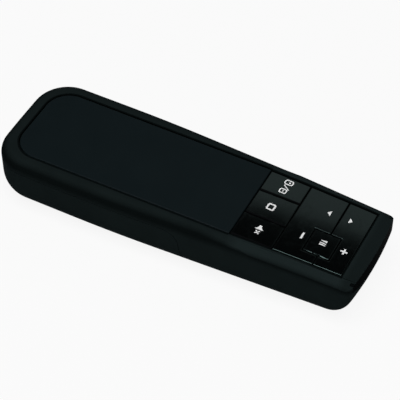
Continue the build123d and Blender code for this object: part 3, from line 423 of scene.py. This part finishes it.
def soft_touch():
    """Rubbery painted shell: fine grain, polished where fingers rest, with painted shade in its crease, a
    painted highlight on the deck's long edges and painted shadow along its rims.
    """
    colours, finishes = settings().colours, settings().finishes
    paint = new_paint("soft_touch_black")
    clouds = paint.noise(0.011, 3.0)
    handling = paint.ramp(paint.noise(0.030, 2.0, 0.6), 0.45, 0.75)
    grain = paint.noise(finishes.grain, 2.0)
    pores = paint.node("ShaderNodeTexVoronoi", {"feature": "F1"},
                       {"Vector": paint.place(), "Scale": 0.45 / finishes.grain}).number("Distance")
    coarse = paint.bump(pores, finishes.grain_depth * 0.5)
    relief = paint.bump(grain, finishes.grain_depth, coarse)
    cloudy = paint.blend(clouds, shaded(colours.housing, 0.82), shaded(colours.housing, 1.18))
    # Painted shade in the crease's soft valley
    crease_shaded = paint.blend(crease_shade_mask(paint), cloudy, shaded(colours.housing, CREASE_SHADE))
    # Painted highlight on the deck's long edges
    deck = paint.blend(deck_edge_highlight_mask(paint), crease_shaded, shaded(colours.housing, DECK_HIGHLIGHT))
    # Painted shadow along the rims of the thumb pad and the keypad
    rims = paint.clamp(pad_rim_shadow_mask(paint) + keypad_rim_shadow_mask(paint))
    base = paint.blend(rims, deck, shaded(colours.housing, RIM_SHADE))
    rough = finishes.housing_roughness + clouds * 0.06 - handling * 0.07 + grain * 0.03
    return paint.finish(Base_Color=base, Roughness=rough, Normal=relief, Specular_IOR_Level=0.0005)


def satin_pad():
    """Smooth inlay with a soft sheen."""
    colours, finishes = settings().colours, settings().finishes
    paint = new_paint("satin_pad_black")
    clouds = paint.noise(0.016, 2.0)
    smudge = paint.ramp(paint.noise(0.009, 3.0, 1.2), 0.50, 0.72)
    grain = paint.noise(0.00016, 2.0)
    base = paint.blend(clouds, shaded(colours.thumb_pad, 0.90), shaded(colours.thumb_pad, 1.10))
    rough = finishes.pad_roughness + clouds * 0.05 - smudge * 0.05 + grain * 0.02
    return paint.finish(Base_Color=base, Roughness=rough, Normal=paint.bump(grain, 0.000005),
                        Specular_IOR_Level=0.07)


def dull_edges(paint):
    """1 on the near edges of the three rear keys, less on the rockers' edge beside the centre key."""
    along, across = paint.along("X"), paint.along("Y")
    edges = [1.0 - paint.span(abs(across - place * MM), (band, band + EDGE_FADE))
             for place, band in (*REAR_ROW_EDGES, CENTRE_CUT)]
    rear = along < ROW_SPLIT * MM
    centre = (along > CENTRE_KEY[0] * MM) * (along < CENTRE_KEY[1] * MM)
    return (edges[0] + edges[1] + edges[2]) * rear + edges[3] * centre * 0.6


def gloss_key():
    """Polished keycap with faint finger smears and a hint of sink, dull on some of its near edges."""
    colours, finishes = settings().colours, settings().finishes
    paint = new_paint("gloss_key_black")
    smear = paint.ramp(paint.noise(0.0042, 4.0, 1.6), 0.48, 0.80)
    speck = paint.ramp(paint.noise(0.0007, 2.0), 0.60, 0.75)
    sink = paint.noise(0.006, 1.0)
    base = paint.blend(smear, colours.keys, shaded(colours.keys, 1.5))
    rough = finishes.key_roughness + smear * 0.04 + speck * 0.02
    # The greenish tint of the reflections is painted: it stands in for the tint of the studio's light.
    gloss = paint.surface(Base_Color=base, Roughness=rough, Normal=paint.bump(sink, 0.000006),
                          Specular_IOR_Level=0.50, Specular_Tint=(0.68, 1.0, 0.97, 1.0))
    dull = paint.surface(Base_Color=shaded(colours.keys, 4.0), Roughness=0.6, Specular_IOR_Level=0.02)
    return paint.close(paint.between(dull_edges(paint), gloss, dull))


def white_ink():
    """Screen-printed ink, a little uneven."""
    paint = new_paint("printed_white")
    shade = settings().colours.signs
    coverage = paint.noise(0.0006, 3.0)
    base = paint.blend(coverage, shaded(shade, 0.90), shade)
    return paint.finish(Base_Color=base, Roughness=0.38 + coverage * 0.14,
                        Normal=paint.bump(paint.noise(0.00012, 1.0), 0.000002))


def smoked_window():
    """Dark polished window for the infrared and laser light."""
    paint = new_paint("smoked_window")
    shade = settings().colours.window
    depth = paint.noise(0.008, 1.0)
    haze = paint.ramp(paint.noise(0.003, 3.0, 0.8), 0.50, 0.85)
    base = paint.blend(depth, shade, shaded(shade, 1.6))
    return paint.finish(Base_Color=base, Roughness=0.07 + haze * 0.06,
                        Normal=paint.bump(paint.noise(0.010, 1.0), 0.00001), Specular_IOR_Level=0.00005)


def moulded_plastic(name, shade):
    """Plain finely grained finish of frames, knobs, grips and fired parts."""
    roughness, grain_size, grain_depth = PLASTICS[name]
    paint = new_paint(name)
    clouds = paint.noise(0.006, 2.0)
    grain = paint.noise(grain_size, 3.0)
    base = paint.blend(clouds, shaded(shade, 0.88), shaded(shade, 1.14))
    return paint.finish(Base_Color=base, Roughness=roughness + clouds * 0.06 + grain * 0.05,
                        Normal=paint.bump(grain, grain_depth), Specular_IOR_Level=0.4)


def chip_epoxy():
    """Moulded epoxy of the chip's body."""
    paint = new_paint("chip_epoxy")
    grain = paint.noise(0.00009, 3.0)
    tone = paint.noise(0.0018, 1.0)
    base = paint.blend(tone, *EPOXY_COLOURS)
    return paint.finish(Base_Color=base, Roughness=0.55 + grain * 0.15,
                        Normal=paint.bump(grain, 0.000006))


# ---- Board and metals ----------------------------------------------------------------------------
def solder_mask():
    """Board with copper runs showing through its mask."""
    paint = new_paint("solder_mask")
    shade = settings().colours.board
    lines = paint.node("ShaderNodeTexBrick", {"offset": 0.5},
                       {"Vector": paint.place(), "Scale": 380.0, "Mortar Size": 0.09, "Mortar Smooth": 0.4,
                        "Brick Width": 1.7, "Row Height": 0.42}).number("Fac")
    fill = paint.ramp(paint.noise(0.007, 1.0), 0.48, 0.52)
    copper = lines * fill
    base = paint.blend(copper, shade, COPPER_COLOUR)
    return paint.finish(Base_Color=base, Roughness=0.26 + paint.noise(0.001, 2.0) * 0.10,
                        Normal=paint.bump(copper, 0.00003))


def drawn_metal(name):
    """Rolled, drawn or turned metal with its fine lines."""
    shade, roughness, stretch, grain, tarnish = METALS[name]
    paint = new_paint(name)
    lines = paint.noise(grain, 2.0, place=paint.place(scale=stretch))
    film = paint.ramp(paint.noise(0.004, 3.0, 0.5), 0.42, 0.78)
    base = paint.blend(film * tarnish, shade, shaded(shade, 0.55))
    return paint.finish(Base_Color=base, Metallic=1.0, Roughness=roughness + lines * 0.12 + film * 0.08,
                        Normal=paint.bump(lines, 0.000004))


def clear_lens():
    """Moulded collimating lens."""
    paint = new_paint("clear_lens")
    haze = paint.noise(0.0009, 2.0)
    return paint.finish(Base_Color=paint.blend(haze, *LENS_COLOURS), Roughness=0.02 + haze * 0.03,
                        Transmission_Weight=1.0, IOR=1.49)


def cell_sleeve(name, nub_end, flat_end):
    """Cell: printed sleeve with a band at the positive end, bare steel at both ends."""
    colours = settings().colours
    paint = new_paint(name)
    length = nub_end - flat_end
    share = (paint.along("X") - flat_end) * (1.0 / length)
    bare = (share > SLEEVE_ENDS[1]) + (share < SLEEVE_ENDS[0])
    band = (share > CELL_BAND_START) * (1.0 - bare)
    hairline = (share > HAIRLINE[0]) * (share < HAIRLINE[1])
    foil = paint.noise(0.0022, 2.0)
    printed = paint.blend(band, colours.cell_sleeve, colours.cell_band)
    lined = paint.blend(hairline, printed, HAIRLINE_COLOUR)
    base = paint.blend(bare, lined, CELL_STEEL)
    scuffs = paint.ramp(paint.noise(0.0011, 4.0, 2.0), 0.60, 0.85)
    return paint.finish(Base_Color=base, Metallic=bare * 0.95 + band * 0.45,
                        Roughness=0.27 + foil * 0.08 + scuffs * 0.16, Normal=paint.bump(scuffs, 0.000008))


# ---- Shapes of the signs -------------------------------------------------------------------------
class Sign:
    """Flat ink shapes about a centre: u to the right and v upwards as the sign is read, in metres."""

    def __init__(self, name):
        self.name = name
        self.mesh = bmesh.new()

    def shape(self, corners):
        """One flat face with these corners."""
        return self.mesh.faces.new([self.mesh.verts.new((u, v, 0.0)) for u, v in corners])

    def bar(self, middle, length, width, angle=0.0):
        """Straight stroke."""
        corners = [Matrix.Rotation(angle, 2) @ Vector((a * length / 2, b * width / 2))
                   for a, b in ((-1, -1), (1, -1), (1, 1), (-1, 1))]
        self.shape([(middle[0] + c.x, middle[1] + c.y) for c in corners])

    def rounded(self, face, radius, segments=4):
        """Rounds a face's corners."""
        bmesh.ops.bevel(self.mesh, geom=list(face.verts), offset=radius, offset_type="OFFSET",
                        segments=segments, profile=0.5, affect="VERTICES", material=-1)

    def disc(self, middle, radius, segments=20):
        """Filled circle."""
        place = Matrix.Translation((middle[0], middle[1], 0.0))
        bmesh.ops.create_circle(self.mesh, cap_ends=True, radius=radius, segments=segments, matrix=place)

    def hollow(self, before, stroke):
        """Cuts out the middle of the face that isn't among those before, and leaves a line round it."""
        face = next(f for f in self.mesh.faces if f not in before)
        bmesh.ops.inset_region(self.mesh, faces=[face], thickness=stroke, use_even_offset=True,
                               use_boundary=True)
        inner = next(f for f in self.mesh.faces if f not in before and len(f.verts) > 4)
        bmesh.ops.delete(self.mesh, geom=[inner], context="FACES_ONLY")

    def loop(self, middle, width, height, radius, stroke):
        """Closed line round a rounded rectangle."""
        u, v = middle
        before = set(self.mesh.faces)
        face = self.shape([(u - width / 2, v - height / 2), (u + width / 2, v - height / 2),
                           (u + width / 2, v + height / 2), (u - width / 2, v + height / 2)])
        self.rounded(face, radius)
        self.hollow(before, stroke)

    def ring(self, middle, radius, stroke, segments=24):
        """Circle drawn with a line."""
        before = set(self.mesh.faces)
        self.disc(middle, radius, segments)
        self.hollow(before, stroke)

    def print_on(self, place, body, material, lift=0.5):
        """Thickens the ink, lays it on the surface at place and lets it ride there."""
        ink = settings().signs.ink
        bmesh.ops.recalc_face_normals(self.mesh, faces=self.mesh.faces[:])
        downward = [f for f in self.mesh.faces if f.normal.z < 0]
        bmesh.ops.reverse_faces(self.mesh, faces=downward)
        extruded = bmesh.ops.extrude_face_region(self.mesh, geom=self.mesh.faces[:], use_keep_orig=True)
        raised = [g for g in extruded["geom"] if isinstance(g, bmesh.types.BMVert)]
        bmesh.ops.translate(self.mesh, verts=raised, vec=(0.0, 0.0, ink))
        bmesh.ops.recalc_face_normals(self.mesh, faces=self.mesh.faces[:])
        bmesh.ops.translate(self.mesh, verts=self.mesh.verts[:], vec=(0.0, 0.0, -ink * (1.0 - lift)))
        bmesh.ops.transform(self.mesh, matrix=place, verts=self.mesh.verts[:])
        data = bpy.data.meshes.new(self.name)
        self.mesh.to_mesh(data)
        self.mesh.free()
        piece = bpy.data.objects.new(self.name, data)
        bpy.context.scene.collection.objects.link(piece)
        data.materials.append(material)
        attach(piece, body)


def on_key(sign):
    """Frame of a sign's spot on the keys' tops, with its up towards the keypad end."""
    x, y = SIGN_PLACES[sign]
    run = (x - DECK_START) / (DECK_END - DECK_START)
    height = DECK_HEIGHT - KEY_RECESS - DECK_DROP * run**2
    slope = 2 * DECK_DROP * run / (DECK_END - DECK_START)
    lean = Matrix.Rotation(math.atan(slope), 4, "Y")
    reading = Matrix.Rotation(-math.pi / 2, 4, "Z")
    return Matrix.Translation((x * MM, y * MM, height * MM)) @ lean @ reading


def under_cover(sign, height=0.0):
    """Frame of a sign's spot on the flat underside, read from below."""
    x, y = SIGN_PLACES[sign]
    return Matrix.Translation((x * MM, y * MM, height * MM)) @ Matrix.Rotation(math.pi, 4, "X")


# ---- Operators -----------------------------------------------------------------------------------
class CLICKER_OT_finish_shell(Operator):
    """Soft-touch finish on the upper shell, the cover under the keypad and the battery door"""
    bl_idname = "clicker.finish_shell"
    bl_label = "Finish Shell"

    def execute(self, context):
        dress(soft_touch(), "top_housing", "bottom_housing", "battery_door")
        return {"FINISHED"}


class CLICKER_OT_finish_thumb_pad(Operator):
    """Satin finish on the long inlay that the thumb rests on"""
    bl_idname = "clicker.finish_thumb_pad"
    bl_label = "Finish Thumb Pad"

    def execute(self, context):
        dress(satin_pad(), "palm_panel")
        return {"FINISHED"}


class CLICKER_OT_finish_keys(Operator):
    """Polished finish on the six keycaps"""
    bl_idname = "clicker.finish_keys"
    bl_label = "Finish Keys"

    def execute(self, context):
        dress(gloss_key(), "key_screen", "key_blank", "key_mute", "rocker_rear", "rocker_front", "key_laser")
        return {"FINISHED"}


class CLICKER_OT_print_rear_signs(Operator):
    """White signs on the three rear keys: start the show, blank the screen, mute"""
    bl_idname = "clicker.print_rear_signs"
    bl_label = "Print Rear Signs"

    def execute(self, context):
        signs, ink = settings().signs, white_ink()
        self.print_screen(signs, ink)
        square = Sign("sign_square")
        square.loop((0.0, 0.0), signs.square, signs.square, 0.6 * MM, signs.stroke)
        square.print_on(on_key("square"), "blank_key", ink)
        self.print_mute(signs, ink)
        return {"FINISHED"}

    def print_screen(self, signs, ink):
        """Two rounded loops, the larger with a dot, and a slash between them."""
        screen = Sign("sign_screen")
        fine = signs.fine_stroke
        left, dot, right = (-1.95 * MM, 0.13 * MM), (-1.95 * MM, 0.44 * MM), (1.95 * MM, -0.15 * MM)
        screen.loop(left, 2.1 * MM, 3.0 * MM, 0.8 * MM, fine)
        screen.disc(dot, 0.34 * MM)
        screen.loop(right, 1.95 * MM, 2.5 * MM, 0.55 * MM, fine)
        screen.bar(right, 0.6 * MM, 0.36 * MM)
        low, high = Vector((-0.55, -0.9)) * MM, Vector((1.0, 1.3)) * MM
        run = high - low
        screen.bar((low + high) / 2, run.length, fine * 0.75, math.atan2(run.y, run.x))
        screen.print_on(on_key("screen"), "screen_key", ink)

    def print_mute(self, signs, ink):
        """A horn and a cross beside it."""
        mute = Sign("sign_mute")
        back, neck, mouth = -1.6 * MM, -0.95 * MM, 0.13 * MM
        narrow, wide = 0.47 * MM, 1.4 * MM
        mute.shape([(back, -narrow), (neck, -narrow), (neck, narrow), (back, narrow)])
        mute.shape([(neck, -narrow), (mouth, -wide), (mouth, wide), (neck, narrow)])
        for angle in (45, -45):
            mute.bar((1.25 * MM, 0.0), 1.7 * MM, 0.42 * MM, math.radians(angle))
        mute.print_on(on_key("mute"), "mute_key", ink)


class CLICKER_OT_print_rocker_signs(Operator):
    """White signs on the two rockers: back and forward, volume down and up"""
    bl_idname = "clicker.print_rocker_signs"
    bl_label = "Print Rocker Signs"

    def execute(self, context):
        signs, ink = settings().signs, white_ink()
        long, half = signs.arrow_length / 2, signs.arrow_width / 2
        back = Sign("sign_back")
        back.rounded(back.shape([(-half, long), (0.0, -long), (half, long)]), 0.12 * MM, 2)
        back.print_on(on_key("back"), "rear_rocker", ink)
        forward = Sign("sign_forward")
        forward.rounded(forward.shape([(-half, -long), (half, -long), (0.0, long)]), 0.12 * MM, 2)
        forward.print_on(on_key("forward"), "front_rocker", ink)
        minus = Sign("sign_minus")
        minus.bar((0.0, 0.0), signs.bar, signs.stroke * 1.15)
        minus.print_on(on_key("minus"), "rear_rocker", ink)
        plus = Sign("sign_plus")
        arm = signs.plus / 2
        width = signs.stroke * 1.05
        plus.bar((0.0, 0.0), 2 * arm, width)
        for side in (1, -1):
            plus.bar((0.0, side * (arm + width / 2) / 2), arm - width / 2, width, math.pi / 2)
        plus.print_on(on_key("plus"), "front_rocker", ink)
        return {"FINISHED"}


class CLICKER_OT_print_centre_sign(Operator):
    """White sign on the centre key: a wedge over two bars"""
    bl_idname = "clicker.print_centre_sign"
    bl_label = "Print Centre Sign"

    def execute(self, context):
        fine = settings().signs.fine_stroke
        half = 1.0 * MM
        sign = Sign("sign_centre")
        sign.shape([(-0.85 * MM, -half), (-0.70 * MM, -half), (-0.42 * MM, half), (-1.15 * MM, half)])
        for u in (0.14, 0.80):
            sign.bar((u * MM, 0.0), 2 * half, fine, math.pi / 2)
        sign.print_on(on_key("centre"), "laser_key", white_ink())
        return {"FINISHED"}


class CLICKER_OT_finish_front(Operator):
    """Smoked window, with the laser's brass barrel and lens behind it"""
    bl_idname = "clicker.finish_front"
    bl_label = "Finish Window and Laser"

    def execute(self, context):
        dress(smoked_window(), "front_window")
        dress(drawn_metal("turned_brass"), "laser_barrel")
        dress(clear_lens(), "laser_lens")
        return {"FINISHED"}


class CLICKER_OT_finish_power_knob(Operator):
    """Textured power knob and its switch, with off and on marks beside it"""
    bl_idname = "clicker.finish_power_knob"
    bl_label = "Finish Power Knob"

    def execute(self, context):
        dress(moulded_plastic("knob_black", KNOB_COLOUR), "power_slider")
        dress(drawn_metal("switch_can"), "power_switch")
        ink = white_ink()
        off = Sign("mark_off")
        off.ring((0.0, 0.0), 0.8 * MM, 0.28 * MM)
        off.print_on(under_cover("off"), "body", ink)
        on = Sign("mark_on")
        on.bar((0.0, 0.0), 0.34 * MM, 1.7 * MM)
        on.print_on(under_cover("on"), "body", ink)
        return {"FINISHED"}


class CLICKER_OT_mould_door_arrow(Operator):
    """Raised arrow on the battery door beside its grip, pointing the way it slides off"""
    bl_idname = "clicker.mould_door_arrow"
    bl_label = "Mould Door Arrow"

    def execute(self, context):
        arrow = Sign("door_arrow")
        tip, base, half = -3.2 * MM, 0.6 * MM, 2.9 * MM
        arrow.rounded(arrow.shape([(tip, 0.0), (base, -half), (base, half)]), 0.35 * MM, 3)
        arrow.print_on(under_cover("door", 0.02), "door", soft_touch(), lift=0.9)
        return {"FINISHED"}


class CLICKER_OT_finish_battery_bay(Operator):
    """Printed cells with their springs and contact plates"""
    bl_idname = "clicker.finish_battery_bay"
    bl_label = "Finish Battery Bay"

    def execute(self, context):
        left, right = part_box("battery_left"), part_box("battery_right")
        dress(cell_sleeve("cell_sleeve_left", left[1].x, left[0].x), "battery_left")
        dress(cell_sleeve("cell_sleeve_right", right[0].x, right[1].x), "battery_right")
        dress(drawn_metal("spring_wire"), "battery_springs")
        dress(drawn_metal("contact_plate"), "battery_contacts")
        return {"FINISHED"}


class CLICKER_OT_finish_receiver(Operator):
    """Stowed receiver: moulded grip, steel plug and contact tongue"""
    bl_idname = "clicker.finish_receiver"
    bl_label = "Finish Receiver"

    def execute(self, context):
        dress(moulded_plastic("receiver_grip", GRIP_COLOUR), "receiver_shell")
        dress(drawn_metal("plug_sleeve"), "receiver_plug")
        dress(moulded_plastic("plug_tongue", TONGUE_COLOUR), "receiver_tongue")
        return {"FINISHED"}


class CLICKER_OT_finish_board(Operator):
    """Key frame, circuit board, switches, chip and small parts"""
    bl_idname = "clicker.finish_board"
    bl_label = "Finish Board and Frame"

    def execute(self, context):
        dress(moulded_plastic("frame_grey", settings().colours.inner_plastic), "key_frame")
        dress(solder_mask(), "main_pcb")
        dress(drawn_metal("tact_switch_can"), "tact_switches")
        dress(chip_epoxy(), "controller_chip")
        dress(moulded_plastic("ceramic_parts", CERAMIC_COLOUR), "pcb_components")
        return {"FINISHED"}


class CLICKER_OT_finish_screws(Operator):
    """Black zinc finish on the housing and board screws"""
    bl_idname = "clicker.finish_screws"
    bl_label = "Finish Screws"

    def execute(self, context):
        dress(drawn_metal("black_zinc"), "housing_screws", "pcb_screws")
        return {"FINISHED"}


class CLICKER_OT_build_studio(Operator):
    """Pale sweep, softboxes, room light and camera"""
    bl_idname = "clicker.build_studio"
    bl_label = "Build Studio"

    def execute(self, context):
        self.lay_floor(context)
        self.light_room(context)
        for name, (size, place, aim) in SOFTBOXES.items():
            self.hang_softbox(context, name, size, Vector(place), Vector(aim))
        self.place_camera(context)
        return {"FINISHED"}

    def lay_floor(self, context):
        sheet = bmesh.new()
        bmesh.ops.create_grid(sheet, x_segments=8, y_segments=8, size=FLOOR_HALF_WIDTH)
        bmesh.ops.translate(sheet, verts=sheet.verts[:], vec=(0.0, 0.0, -FLOOR_DROP))
        data = bpy.data.meshes.new("floor")
        sheet.to_mesh(data)
        sheet.free()
        floor = bpy.data.objects.new("floor", data)
        context.scene.collection.objects.link(floor)
        data.materials.append(self.paper())

    def paper(self):
        """White sweep: seen by the camera as white, with the clicker's shadow kept."""
        paint = new_paint("paper_sweep")
        shade = settings().studio.floor
        path = paint.node("ShaderNodeLightPath")
        seen = path.number("Is Camera Ray") + path.number("Is Glossy Ray")
        seen = seen + path.number("Is Transmission Ray")
        matt = paint.node("ShaderNodeBsdfDiffuse", {}, {"Color": opaque(shade), "Roughness": 0.5})
        glow = paint.node("ShaderNodeEmission", {}, {"Color": opaque(WHITE), "Strength": 1.0})
        white = paint.clamp(seen) * 0.90
        return paint.close(paint.between(white, matt.out("BSDF"), glow.out("Emission")))

    def light_room(self, context):
        """Room that is pale low down and dark overhead, white where the camera sees it."""
        world = bpy.data.worlds.new("studio_room")
        context.scene.world = world
        room = Paint(world)
        direction = room.node("ShaderNodeTexCoord").out("Generated")
        height = room.node("ShaderNodeSeparateXYZ", {}, {0: direction}).number("Z")
        overhead = room.ramp(height, 0.10, 0.55)
        tone = room.blend(overhead, WHITE, OVERHEAD_COLOUR)
        lit = room.node("ShaderNodeBackground", {}, {"Color": tone, "Strength": settings().studio.sky})
        white = room.node("ShaderNodeBackground", {}, {"Color": opaque(WHITE), "Strength": 1.0})
        seen = room.node("ShaderNodeLightPath").number("Is Camera Ray")
        mixed = room.between(seen, lit.out("Background"), white.out("Background"))
        room.node("ShaderNodeOutputWorld", {}, {"Surface": mixed})

    def hang_softbox(self, context, name, size, place, aim):
        """Area light with its long side along X."""
        data = bpy.data.lights.new(name, "AREA")
        data.shape = "RECTANGLE"
        data.size, data.size_y = size
        data.energy = getattr(settings().studio, name)
        lamp = bpy.data.objects.new(name, data)
        context.scene.collection.objects.link(lamp)
        away = (place - aim).normalized()
        across = Vector((1.0, 0.0, 0.0))
        deep = away.cross(across).normalized()
        across = deep.cross(away)
        turned = Matrix((across, deep, away)).transposed().to_4x4()
        lamp.matrix_world = Matrix.Translation(place) @ turned

    def place_camera(self, context):
        data = bpy.data.cameras.new("camera")
        data.lens = CAMERA_LENS
        data.sensor_width = CAMERA_FILM
        data.clip_start = 0.01
        data.clip_end = 20.0
        camera = bpy.data.objects.new("camera", data)
        context.scene.collection.objects.link(camera)
        turned = Matrix((CAMERA_RIGHT, CAMERA_UP, CAMERA_BACK)).transposed().to_4x4()
        camera.matrix_world = Matrix.Translation(CAMERA_PLACE) @ turned
        context.scene.camera = camera
        context.scene.view_settings.view_transform = "Standard"


# ---- Panel and registration ----------------------------------------------------------------------
OPERATORS = (
    CLICKER_OT_build_studio,
    CLICKER_OT_finish_shell,
    CLICKER_OT_finish_thumb_pad,
    CLICKER_OT_finish_keys,
    CLICKER_OT_print_rear_signs,
    CLICKER_OT_print_rocker_signs,
    CLICKER_OT_print_centre_sign,
    CLICKER_OT_finish_front,
    CLICKER_OT_finish_power_knob,
    CLICKER_OT_mould_door_arrow,
    CLICKER_OT_finish_battery_bay,
    CLICKER_OT_finish_receiver,
    CLICKER_OT_finish_board,
    CLICKER_OT_finish_screws,
)
SETTINGS = (ClickerColours, ClickerFinishes, ClickerSigns, ClickerStudio)


class ClickerSettings(PropertyGroup):
    colours: PointerProperty(type=ClickerColours)
    finishes: PointerProperty(type=ClickerFinishes)
    signs: PointerProperty(type=ClickerSigns)
    studio: PointerProperty(type=ClickerStudio)


class CLICKER_PT_sidebar(Panel):
    """Sizes, colours and steps of the clicker's dressing"""
    bl_idname = "CLICKER_PT_sidebar"
    bl_label = "Presentation Clicker"
    bl_space_type = "VIEW_3D"
    bl_region_type = "UI"
    bl_category = "Clicker"

    def draw(self, context):
        layout = self.layout
        clicker = context.scene.clicker
        for group in (clicker.colours, clicker.finishes, clicker.signs, clicker.studio):
            box = layout.box()
            for name in group.__annotations__:
                box.prop(group, name)
        for operator in OPERATORS:
            layout.operator(operator.bl_idname)


def register():
    for kind in (*SETTINGS, ClickerSettings, *OPERATORS, CLICKER_PT_sidebar):
        bpy.utils.register_class(kind)
    bpy.types.Scene.clicker = PointerProperty(type=ClickerSettings)


def unregister():
    del bpy.types.Scene.clicker
    for kind in reversed((*SETTINGS, ClickerSettings, *OPERATORS, CLICKER_PT_sidebar)):
        bpy.utils.unregister_class(kind)


def main():
    register()
    for operator in OPERATORS:
        group, name = operator.bl_idname.split(".")
        getattr(getattr(bpy.ops, group), name)()


if __name__ == "__main__":
    main()
